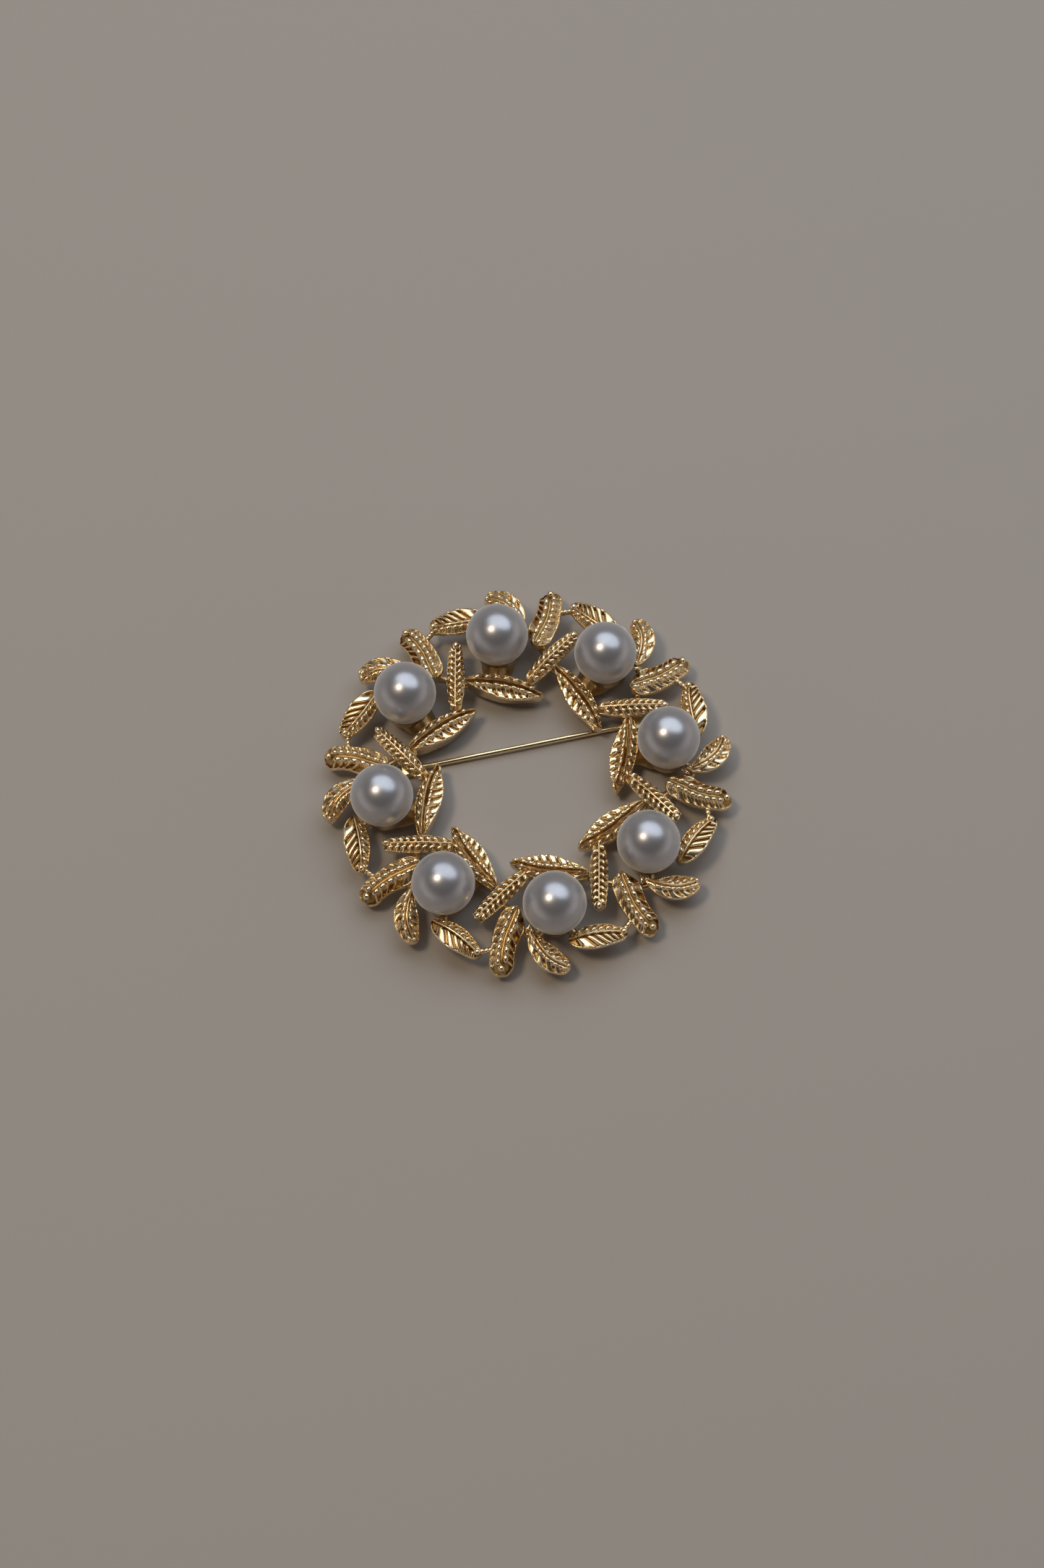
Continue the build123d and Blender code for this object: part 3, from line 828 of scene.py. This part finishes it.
Heads = namedtuple("Heads", "leaf side out lift length width tall turn")
head_rows = [
    Heads("inner", -1, 0.71, 0.18, 1.05, 0.44, 0.42, 0.15),
    Heads("inner", 1, 0.52, 0.06, 0.96, 0.48, 0.44, 0.5),
    Heads("beaded", -1, 0.52, 0.02, 0.98, 0.50, 0.46, 0.6),
    Heads("beaded", 1, 0.52, 0.02, 0.98, 0.50, 0.46, 0.6),
    Heads("arched", -1, 0.48, 0.16, 0.92, 0.62, 0.50, 0.1),
    Heads("arched", 1, 0.50, 0.16, 1.12, 0.68, 0.54, 0.1),
    Heads("crescent", -1, 0.50, 0.10, 1.05, 0.44, 0.42, 0.1),
    Heads("crescent", 1, 0.46, 0.06, 0.86, 0.46, 0.42, 0.5),
    Heads("outer", 1, 0.46, 0.06, 0.90, 0.48, 0.44, 0.5),
]
Bead = namedtuple("Bead", "leaf along side lift length width yaw")
beads = [
    Bead("beaded", 0.97, 0.0, 0.02, 1.10, 0.95, 0.6),
    Bead("arched", 0.94, -0.05, 0.14, 1.00, 0.90, 2.7),
    Bead("outer", 0.94, 0.0, 0.10, 1.00, 0.90, 0.0),
    Bead("crescent", 0.96, 0.0, 0.02, 0.70, 0.56, 0.8),
    Bead("inner", 0.84, 0.0, 0.06, 0.70, 0.52, -0.4),
    Bead("crescent", 0.03, 0.0, 0.0, 0.70, 0.62, 0.7),
    Bead("crescent", -0.06, -0.8, -0.20, 1.50, 0.60, 0.7),
]

# %% Where each bead of one group lies
last_head = 0.99
look_ahead = 0.01
least_head = 0.4
leaf_bead_rows = []


def add_bead(spot, lift, size, turn):
    """Notes the place, size and turn of one bead on a leaf."""
    leaf_bead_rows.append((spot + (0, ring_radius, back_height + lift), size, turn))


for bead in beads:
    spot = leaf_surface(leaves[bead.leaf], bead.along, bead.side)
    add_bead(spot, bead.lift, (bead.length, bead.width, bead.width), (0.0, 0.0, bead.yaw))
for heads in head_rows:
    leaf = leaves[heads.leaf]
    relief = next(relief for relief in reliefs[heads.leaf] if relief.side == heads.side)
    fingers = next(row for row in finger_rows if (row.leaf, row.side) == (heads.leaf, heads.side))
    for number in range(int(fingers.count) + 2):
        place_row = (number + 0.5 - fingers.shift) / fingers.count
        if not fingers.first < place_row < fingers.last:
            continue
        lead = relief.slant * heads.out / leaf_length(leaf) * float(lead_share(np.array([place_row]))[0])
        along = min(place_row + lead, last_head)
        half = float(half_width(leaf, np.array([along]), heads.side)[0])
        fine = float(slim(half))
        side = heads.side * min(heads.out * fine / max(half, 0.01), 1.0)
        spot = leaf_surface(leaf, along, side)
        heading = leaf_surface(leaf, along + look_ahead, side) - spot
        dip = -np.arctan2(heading[2], np.hypot(heading[0], heading[1]))
        yaw = np.arctan2(heading[1], heading[0]) + heads.turn * heads.side
        length = heads.length * (least_head + (1 - least_head) * fine)
        add_bead(spot, heads.lift, (length, heads.width * fine, heads.tall * fine), (0.0, dip, yaw))
print(len(leaf_bead_rows), "beads on one group of leaves")

# %% Make the leaves of one group, raise their fingers and turn them round the ring
casting_pieces = []
unevenness = 0.10
casting_seed = 1.0
sharp_edge = radians(50)


def turn_round(made, bend, seed, finish):
    """Turns a piece of one group round the ring and shades it smooth up to its sharp edges."""
    run_tree(made, ring_tree, Count=module_count, Unevenness=bend * MM, Seed=seed, Finish=finish)
    made.data.shade_smooth()
    made.data.set_sharp_from_angle(angle=sharp_edge)
    made.data.calc_loop_triangles()
    print(made.name, len(made.data.loop_triangles), "triangles")


def finish_casting(made):
    """Turns a cast piece round the ring and notes it as part of the casting."""
    turn_round(made, unevenness, casting_seed, gold_plate)
    casting_pieces.append(made)


for name in leaves:
    one_leaf = make_leaf(name)
    for row in finger_rows:
        if row.leaf == name:
            sizes = {field.capitalize(): float(size) for field, size in zip(row._fields[1:], row[1:])}
            run_tree(one_leaf, finger_tree, Finish=gold_plate, **sizes)
    one_leaf.name = f"{name}_leaves"
    finish_casting(one_leaf)

finish_casting(make_beads("leaf_beads", leaf_bead_rows))

# %% [markdown]
# ## Cups, pegs and solder bars
# Under each pearl stands a small bowl-shaped cup with a peg for the glue. It is turned
# work, so one profile spun round its axis makes it. Short round bars join cup to leaves
# and group to group. They are tubes along short lines, and a Geometry Nodes tree gives
# each line its thickness. All of them lie below the leaves and the pearls, and their gold
# carries painted shade: it is darkened to brown for the shadow there.

# %% A profile spun round the axis of the first pearl


def spin_profile(name, profile, segments, shade_value=0.0):
    """A closed surface from (radius, height) rows in mm whose ends lie on the pearl's axis."""
    turns = [tau * i / segments for i in range(segments)]
    points = [(0.0, ring_radius, profile[0][1])]
    for radius, height in profile[1:-1]:
        points += [(radius * cos(turn), ring_radius + radius * sin(turn), height) for turn in turns]
    points.append((0.0, ring_radius, profile[-1][1]))
    last = len(points) - 1
    top = last - segments
    faces = []
    for i in range(segments):
        j = (i + 1) % segments
        faces += [(0, 1 + j, 1 + i), (last, top + i, top + j)]
        for low in range(1, top, segments):
            faces.append((low + i, low + j, low + segments + j, low + segments + i))
    # The whole surface carries one value of painted shade.
    return new_mesh_object(name, points, faces, {"painted_shade": [shade_value] * len(points)})


# %% The cup with its peg
# Each row of the bowl is a radius and a height over the back.
cup_bowl = [(2.2, 0.0), (2.6, 0.12), (2.82, 0.4), (2.94, 0.9), (2.95, 1.5), (2.9, 2.2)]
cup_rim = 2.8
cup_lip = 0.08
cup_segments = 48
# How much painted shade the gold gets on the cups, bars, webs and findings, which lie in shadow below the
# pearls and the leaves.
painted_shade_below = 0.6
dish_radius = pearl_radius + pearl_clearance
dish_steps = 6
peg_radius = 0.5
peg_length = 3.0
peg_bevel = 0.1


def dish_height(radius):
    """How high the dish under the pearl stands at this radius."""
    return pearl_height - sqrt(dish_radius**2 - radius**2)


cup_profile = [(0.0, back_height)]
cup_profile += [(radius, back_height + height) for radius, height in cup_bowl]
cup_profile.append((cup_rim, dish_height(cup_rim)))
dish_edge = cup_rim - cup_lip
for step in range(dish_steps + 1):
    radius = dish_edge - (dish_edge - peg_radius) * step / dish_steps
    cup_profile.append((radius, dish_height(radius)))
peg_top = pearl_height - pearl_radius + peg_length
cup_profile += [(peg_radius, peg_top - peg_bevel), (peg_radius - peg_bevel, peg_top), (0.0, peg_top)]
finish_casting(spin_profile("cups", cup_profile, cup_segments, painted_shade_below))

# %% The tree that gives lines their thickness
rod_tree, rod_in, rod_out = new_tree(
    "rod_on_lines", {"Radius": 0.0005, "Sides": 16},
)
rod_lines = add_node(rod_tree, "GeometryNodeMeshToCurve", Mesh=rod_in.outputs["Geometry"]).outputs[0]
rod_smooth = add_node(
    rod_tree, "GeometryNodeCurveSplineType", [("spline_type", "CATMULL_ROM")], Curve=rod_lines,
).outputs[0]
rod_ring = add_node(
    rod_tree, "GeometryNodeCurvePrimitiveCircle",
    Resolution=rod_in.outputs["Sides"], Radius=rod_in.outputs["Radius"],
).outputs[0]
rod_body = add_node(
    rod_tree, "GeometryNodeCurveToMesh", Curve=rod_smooth, i1=rod_ring, Fill_Caps=True,
).outputs[0]
end_tree(rod_tree, rod_in, rod_out, rod_body)

# %% The bars of one group, as lines from place to place


def turned(point, steps):
    """A point of the group, carried clockwise round the ring by so many groups."""
    return Matrix.Rotation(-tau / module_count * steps, 3, "Z") @ Vector(point)


def bar_end(name, along):
    """Where a bar starts or ends: the cup's axis or a place on a leaf's crest line."""
    if name == "cup":
        return Vector((0, ring_radius, 0))
    across, out = leaf_middle(leaves[name], along)[:2]
    return Vector((across[0], ring_radius + out[0], 0))


Bar = namedtuple("Bar", "start start_along end end_along radius level next_group")
bars = [
    Bar("cup", 0.0, "outer", 0.20, 0.60, 0.95, 0),
    Bar("cup", 0.0, "crescent", 0.10, 0.60, 0.95, 0),
    Bar("inner", 0.76, "beaded", 0.12, 0.50, 0.95, 0),
    Bar("beaded", 0.52, "arched", 0.14, 0.50, 0.80, 0),
    Bar("crescent", 0.12, "arched", 0.22, 0.50, 0.95, 0),
    Bar("beaded", 0.44, "inner", 0.06, 0.50, 0.95, 1),
    Bar("arched", 0.62, "outer", 0.90, 0.30, 1.45, 1),
]
bar_sides = 14


def bar_ends(bar):
    """Both ends of a bar, in the plane of the ring."""
    start = bar_end(bar.start, bar.start_along)
    return start, turned(bar_end(bar.end, bar.end_along), bar.next_group)


def make_bars(name, radius):
    """All the bars of one thickness in one mesh."""
    points = []
    for bar in bars:
        if bar.radius == radius:
            points += [spot + Vector((0, 0, back_height + bar.level)) for spot in bar_ends(bar)]
    edges = [(i, i + 1) for i in range(0, len(points), 2)]
    # The bars carry the painted shade of the parts under the leaves.
    lines = new_mesh_object(name, points, guides={"painted_shade": [painted_shade_below] * len(points)}, edges=edges)
    return run_tree(lines, rod_tree, Radius=radius * MM, Sides=bar_sides, Finish=gold_plate)


for number, radius in enumerate(sorted({bar.radius for bar in bars}), 1):
    finish_casting(make_bars(f"bars_{number}", radius))

# %% The neck of small beads that joins an outer leaf to the arched leaf beside it
# It lies over the last bar of the table.
NeckBead = namedtuple("NeckBead", "share length width")
neck_beads = [NeckBead(0.49, 0.55, 0.84), NeckBead(0.62, 0.80, 0.80), NeckBead(0.77, 0.80, 0.76)]
neck_height = back_height + 1.75
neck_start, neck_end = bar_ends(bars[-1])
neck_heading = np.arctan2(neck_end.y - neck_start.y, neck_end.x - neck_start.x)
neck_rows = []
for bead in neck_beads:
    spot = neck_start.lerp(neck_end, bead.share) + Vector((0, 0, neck_height))
    neck_rows.append((spot, (bead.length, bead.width, bead.width), (0.0, 0.0, neck_heading)))
finish_casting(make_beads("neck_beads", neck_rows))

# %% [markdown]
# ## The web below each pearl
# Between a pearl and its inner leaf the photograph shows a broad gilt web, the cup drawn
# out to the leaf like an apron. Two blocks would do, but their corners catch the light.
# So it is a short loft from a table of four rows: each one is a wide low arch, and the
# arches narrow and sink on their way out from the cup to the leaf.

# %% A web from the cup to the inner leaf
# Each row is a place outwards from the pearl's axis, half a width and a crest, in mm.
web_table = [(0.8, 2.4, 2.4), (2.6, 2.1, 2.0), (3.6, 1.7, 1.3), (5.2, 1.5, 0.9)]
web_places, web_widths, web_crests = np.array(web_table).T
web_rows = 14
web_columns = 41
web_low = 0.1
web_edge = 0.15
web_leaf_place = 0.38
web_target = bar_end("inner", web_leaf_place) - Vector((0, ring_radius, 0))
web_run = np.array(web_target.normalized()[:2])
web_side = np.array((-web_run[1], web_run[0]))
web_out = np.linspace(web_places[0], web_places[-1], web_rows)[:, None]
web_half = np.interp(web_out, web_places, web_widths)
web_crest = np.interp(web_out, web_places, web_crests)
web_across = np.linspace(1, -1, web_columns)
web_top = web_edge + (web_crest - web_edge) * (1 - web_across**2)
web_heights = np.hstack([web_top, np.full((web_rows, 2), web_low)])
web_shares = np.concatenate([web_across, (-1, 1)])
web_flat = web_run * web_out[:, :, None] + web_side * (web_half * web_shares)[:, :, None]
web_points = np.dstack([web_flat, web_heights])
# The web lies in the pearl's shadow, so its gold carries painted shade.
web_painted_shade = np.full(web_heights.shape, painted_shade_below)
finish_casting(closed_loft("webs", web_points, {"painted_shade": web_painted_shade}))

# %% [markdown]
# ## The pearls
# Each pearl is a bead of 8 mm, bored from below for the peg. The CAD pearl is a fine
# net of flat triangles, and a pearl shows the least facet, so a smoother one is spun
# here at the same size and turned round the ring by the same tree as the leaves.

# %% Spin a pearl and repeat it
bore_radius = peg_radius + pearl_clearance
bore_top = peg_top + pearl_clearance
pearl_profile = [(0.0, bore_top), (bore_radius, bore_top)]
lowest = asin(bore_radius / pearl_radius)
arc_steps = 48
pearl_segments = 96
for step in range(arc_steps):
    angle = lowest + (pi - lowest) * step / arc_steps
    pearl_profile.append((pearl_radius * sin(angle), pearl_height - pearl_radius * cos(angle)))
pearl_profile.append((0.0, pearl_height + pearl_radius))
pearls = spin_profile("pearls", pearl_profile, pearl_segments)
turn_round(pearls, 0.0, 0.0, pearl_coat)
print("pearls reach", round(max(v.co.z for v in pearls.data.vertices) * 1000, 2), "mm high")

# %% [markdown]
# ## The hinge and the catch
# They are soldered to the casting behind the leaves: a foot, two round ears with a
# rivet, and a clip whose mouth faces away from the leaves. Nothing of them shows in
# the photograph, so they are plain, but with rounded edges as worked metal has.

# %% Blocks and bars with softened edges
pin_offset = 5.3
pin_height = 0.75
hinge_place = 14.3
catch_place = 15.0
finding_radius = 0.75
ear_thickness = 0.5
ear_gap = 1.0
foot_low = 1.35
foot_thickness = 0.5
foot_half = 1.05
hinge_foot_length = 2.4
catch_foot_length = 2.6
solder_overlap = 0.25
rivet_radius = 0.22
rivet_length = 2.0
rivet_sides = 24
clip_length = 2.0
clip_mouth = (235, 305)
slot_radius = 0.43
edge_softness = 0.06
soft_sharp = radians(40)


def softened(made):
    """Rounds the edges of a plain piece with a bevel and keeps the result."""
    bevel = made.modifiers.new("soft", "BEVEL")
    bevel.width = edge_softness * MM
    bevel.segments = 2
    bevel.limit_method = "ANGLE"
    keep_result(made)
    made.data.shade_smooth()
    made.data.set_sharp_from_angle(angle=soft_sharp)
    made.data.materials.clear()
    made.data.materials.append(gold_plate)
    return made


def prism(name, outline, start, length, axis):
    """A solid from an outline in mm, pulled along X or Y from start."""
    count = len(outline)
    points = []
    for pull in (start, start + length):
        for flat, height in outline:
            points.append((pull, flat, height) if axis == "X" else (flat, pull, height))
    faces = [tuple(range(count))[::-1], tuple(range(count, 2 * count))]
    for i in range(count):
        j = (i + 1) % count
        faces.append((i, j, count + j, count + i))
    if axis == "Y":
        faces = [face[::-1] for face in faces]
    # The findings carry the painted shade of the parts under the leaves.
    return softened(new_mesh_object(name, points, faces, {"painted_shade": [painted_shade_below] * len(points)}))


def foot(name, middle, length):
    """A flat block that is soldered to the casting, with its middle at this place on X."""
    low, high = pin_offset - foot_half, pin_offset + foot_half
    top = foot_low + foot_thickness
    outline = [(low, foot_low), (high, foot_low), (high, top), (low, top)]
    return prism(name, outline, middle - length / 2, length, "X")


def arc(centre, height, radius, first, last, steps):
    """Points of an arc, in degrees from the horizontal."""
    turns = [radians(first + (last - first) * i / steps) for i in range(steps + 1)]
    return [(centre + radius * cos(turn), height + radius * sin(turn)) for turn in turns]


# %% The hinge's foot, ears and rivet, and the catch


def shank(middle):
    """The two points where an ear or a clip goes into its foot."""
    root = foot_low + solder_overlap
    return [(middle + finding_radius, root), (middle - finding_radius, root)]


ear_outline = shank(-hinge_place) + arc(-hinge_place, pin_height, finding_radius, 180, 360, 16)
rivet_outline = arc(-hinge_place, pin_height, rivet_radius, 0, 360 - 360 / rivet_sides, rivet_sides - 1)
clip_outline = shank(pin_offset)
clip_outline += arc(pin_offset, pin_height, finding_radius, 180, clip_mouth[0], 6)
clip_outline += arc(pin_offset, pin_height, slot_radius, 180, 0, 12)
clip_outline += arc(pin_offset, pin_height, finding_radius, clip_mouth[1], 360, 6)
findings = [
    foot("hinge_foot", -hinge_place, hinge_foot_length),
    prism("hinge_ear_1", ear_outline, pin_offset + ear_gap / 2, ear_thickness, "Y"),
    prism("hinge_ear_2", ear_outline, pin_offset - ear_gap / 2 - ear_thickness, ear_thickness, "Y"),
    prism("hinge_rivet", rivet_outline, pin_offset - rivet_length / 2, rivet_length, "Y"),
    foot("catch_foot", catch_place, catch_foot_length),
    prism("catch_clip", clip_outline, catch_place - clip_length / 2, clip_length, "X"),
]
print("findings:", [piece.name for piece in findings])

# %% [markdown]
# ## Which piece moves with what
# The whole wreath is one body and the pin is another. The detailed pieces ride on the
# wreath and stand for the cast solid and the pearls. The pin keeps its CAD shape and
# only gets its polish.

# %% Ride, replace and paint
casting_pieces += findings
for piece in casting_pieces:
    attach(piece, "wreath")
    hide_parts("wreath_casting")
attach(pearls, "wreath")
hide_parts(*[f"pearl_{i + 1}" for i in range(module_count)])
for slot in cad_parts["pin_stem"].material_slots:
    slot.material = pin_polish
print(len(casting_pieces) + 1, "pieces ride on the wreath")

# %% [markdown]
# ## The floor and the light
# The photograph is lit by a window and a lamp: each pearl shows a broad pale patch to
# its upper right and a small warm spot beside it. Two soft lamps stand where those
# reflections point. The room is a plain soft gradient, darker overhead, with a dark wall
# before and behind the brooch: a polished leaf that mirrors a dark wall shows the deep
# browns of the photograph. The floor is plain and pale. The standard view transform
# keeps the colours as they are mixed.

# %% The floor
floor_half = 600
floor_points = [(x * floor_half, y * floor_half, 0) for x, y in ((-1, -1), (1, -1), (1, 1), (-1, 1))]
floor = new_mesh_object("floor", floor_points, [(0, 1, 2, 3)])
floor_paint = bpy.data.materials.new("floor_paint")
floor_paint.use_nodes = True
floor_shader = floor_paint.node_tree.nodes["Principled BSDF"]
floor_shader.inputs["Base Color"].default_value = (0.405, 0.356, 0.315, 1)
floor_shader.inputs["Roughness"].default_value = 0.9
floor_shader.inputs["Specular IOR Level"].default_value = 0.1
floor.data.materials.append(floor_paint)

# %% The window and the lamp
lamp_distance = 900


def add_lamp(name, direction, width, height, power, colour):
    """An area lamp, its sizes in mm, that looks at the middle of the wreath."""
    lamp_data = bpy.data.lights.new(name, "AREA")
    lamp_data.shape = "ELLIPSE"
    lamp_data.size = width * MM
    lamp_data.size_y = height * MM
    lamp_data.energy = power
    lamp_data.color = colour
    lamp = new_object(name, lamp_data)
    lamp.location = (direction * lamp_distance + Vector((0, 0, pearl_height))) * MM
    lamp.rotation_mode = "QUATERNION"
    lamp.rotation_quaternion = direction.to_track_quat("Z", "Y")


add_lamp(
    "window", from_camera(0.15, 0.75, 0.65),
    width=1500, height=900, power=6.5, colour=(0.74, 0.86, 1.0),
)
add_lamp(
    "warm_lamp", from_camera(-0.36, 0.33, 0.873),
    width=200, height=200, power=2.2, colour=(1.0, 0.86, 0.66),
)

# %% The room: a soft gradient, darker overhead, with a dark wall before and behind
room_stops = ((0.0, (0.66, 0.62, 0.60)), (0.30, (0.50, 0.46, 0.44)), (0.55, (0.03, 0.022, 0.018)))
wall_colour = (0.03, 0.027, 0.025)
wall_shift = 0.2
wall_start = 0.25
wall_end = 0.85
wall_strength = 0.7
room = bpy.data.worlds.new("room")
room.use_nodes = True
bpy.context.scene.world = room
room_tree = room.node_tree
room_shader = room_tree.nodes["Background"]
room_place = room_tree.nodes.new("ShaderNodeTexCoord").outputs["Generated"]
room_split = add_node(room_tree, "ShaderNodeSeparateXYZ", Vector=room_place).outputs
room_ramp = room_tree.nodes.new("ShaderNodeValToRGB")
room_tree.links.new(room_split["Z"], room_ramp.inputs["Fac"])
for share, colour in room_stops:
    stop = room_ramp.color_ramp.elements.new(share)
    stop.color = (*colour, 1)
room_ramp.color_ramp.elements.remove(room_ramp.color_ramp.elements[-1])
room_ramp.color_ramp.elements.remove(room_ramp.color_ramp.elements[0])
wall_side = maths(room_tree, "ABSOLUTE", maths(room_tree, "ADD", room_split["Y"], wall_shift))
wall_share = add_node(
    room_tree, "ShaderNodeMapRange", [("interpolation_type", "SMOOTHSTEP")],
    Value=wall_side, From_Min=wall_start, From_Max=wall_end, To_Min=0.0, To_Max=wall_strength,
).outputs["Result"]
room_mix = mix_colours(room_tree, wall_share, room_ramp.outputs["Color"], (*wall_colour, 1))
room_tree.links.new(room_mix, room_shader.inputs["Color"])
room_shader.inputs["Strength"].default_value = 1.0
bpy.context.scene.view_settings.view_transform = "Standard"
